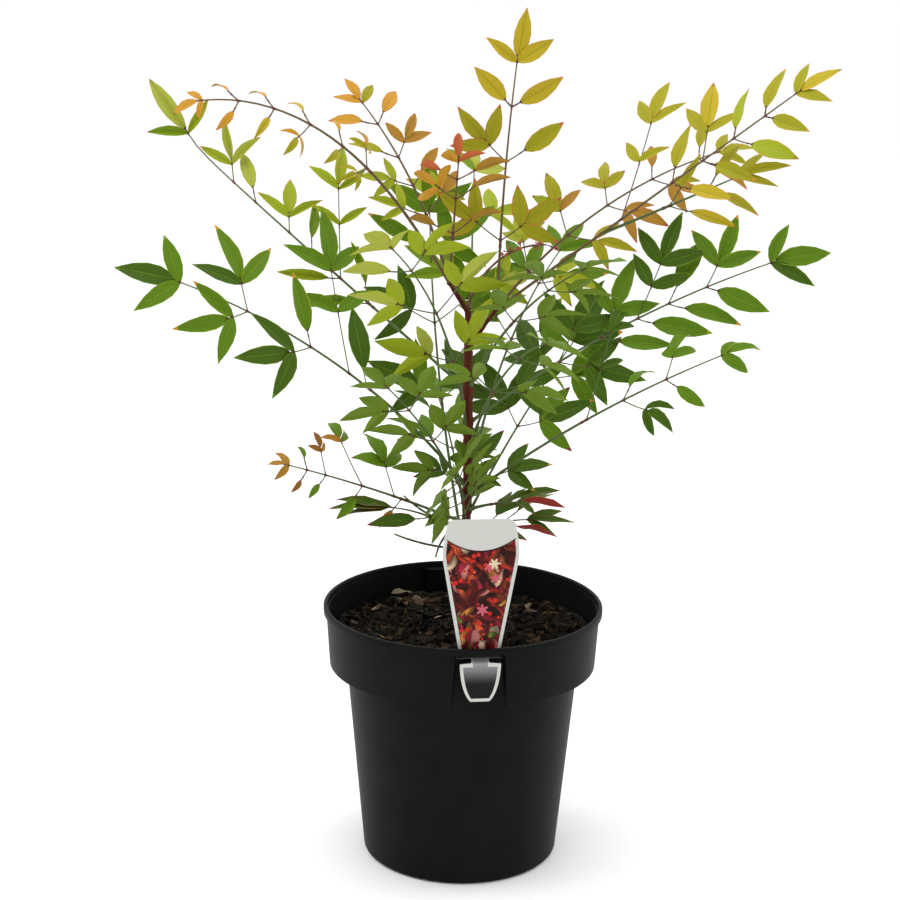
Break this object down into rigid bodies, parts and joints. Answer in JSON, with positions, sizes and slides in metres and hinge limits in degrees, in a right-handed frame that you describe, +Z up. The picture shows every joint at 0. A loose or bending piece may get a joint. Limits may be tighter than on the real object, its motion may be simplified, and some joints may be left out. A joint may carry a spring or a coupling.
{
  "type": "potted heavenly bamboo shrub",
  "caption": "Young heavenly bamboo shrub with one cane and arching compound leaves, in a round black nursery pot filled with potting mix, with an upright plant label clipped in its collar.",
  "frame": {"origin": "centre of the pot's flat underside, on the surface it stands on", "axes": "+Z up along the pot's axis, -Y towards the side that the plant label faces, +X to the right seen from that side"},
  "size_m": [0.496, 0.335, 0.6052],
  "materials": {
    "pot_plastic": "black moulded plastic with a slight sheen",
    "potting_mix": "moist dark bark-based potting mix with chips and grit",
    "label_plastic": "thin printed plastic with a white border",
    "cane_bark": "dark red-brown cane, slightly ribbed",
    "leaf_stalk": "smooth olive green leaf stalk, red at its joints",
    "dry_stub": "dry grey-green cut stub",
    "flower_spray": "thin reddish twig with small buds",
    "leaf_green": "mid green leathery leaflets, red at some edges and tips",
    "leaf_lime": "yellow-green leaflets",
    "leaf_gold": "golden yellow-green leaflets with thin orange margins",
    "leaf_bronze": "curled bronze and copper young leaflets"
  },
  "bodies": {
    "root": {"pot": "pot_plastic", "potting_mix": "potting_mix", "plant_label": "label_plastic", "main_stem": "cane_bark", "left_fork": "cane_bark", "right_fork": "cane_bark", "left_long_stalk": "leaf_stalk", "left_upper_stalk": "leaf_stalk", "left_bronze_stalk": "leaf_stalk", "left_gold_stalk": "leaf_stalk", "copper_shoot_stalk": "leaf_stalk", "top_gold_stalk": "leaf_stalk", "right_bronze_stalk": "leaf_stalk", "right_gold_stalk": "leaf_stalk", "right_gold_lower_stalk": "leaf_stalk", "right_long_stalk": "leaf_stalk", "right_low_stalk": "leaf_stalk", "rear_right_stalk": "leaf_stalk", "right_inner_stalk": "leaf_stalk", "rear_tall_stalk": "leaf_stalk", "front_lime_stalk": "leaf_stalk", "left_inner_stalk": "leaf_stalk", "left_low_stalk": "leaf_stalk", "right_foot_stalk": "leaf_stalk", "front_mid_stalk": "leaf_stalk", "rear_mid_stalk": "leaf_stalk", "front_right_stalk": "leaf_stalk", "front_foot_stalk": "leaf_stalk", "rear_foot_stalk": "leaf_stalk", "right_foot_low_stalk": "leaf_stalk", "left_foot_stalk": "leaf_stalk", "cut_stub_upper": "dry_stub", "cut_stub_lower": "dry_stub", "cut_stub_short": "dry_stub", "flower_spray": "flower_spray", "left_long_leaves": "leaf_green", "left_upper_leaves": "leaf_lime", "left_bronze_leaves": "leaf_bronze", "left_gold_leaves": "leaf_gold", "copper_shoot_leaves": "leaf_bronze", "top_gold_leaves": "leaf_gold", "right_bronze_leaves": "leaf_bronze", "right_gold_leaves": "leaf_gold", "right_gold_lower_leaves": "leaf_gold", "right_long_leaves": "leaf_green", "right_low_leaves": "leaf_green", "rear_right_leaves": "leaf_green", "right_inner_leaves": "leaf_green", "rear_tall_leaves": "leaf_green", "front_lime_leaves": "leaf_lime", "left_inner_leaves": "leaf_green", "left_low_leaves": "leaf_green", "right_foot_leaves": "leaf_green", "front_mid_leaves": "leaf_green", "rear_mid_leaves": "leaf_lime", "front_right_leaves": "leaf_green", "front_foot_leaves": "leaf_green", "rear_foot_leaves": "leaf_green", "right_foot_low_leaves": "leaf_green", "left_foot_leaves": "leaf_green"}
  },
  "joints": []
}
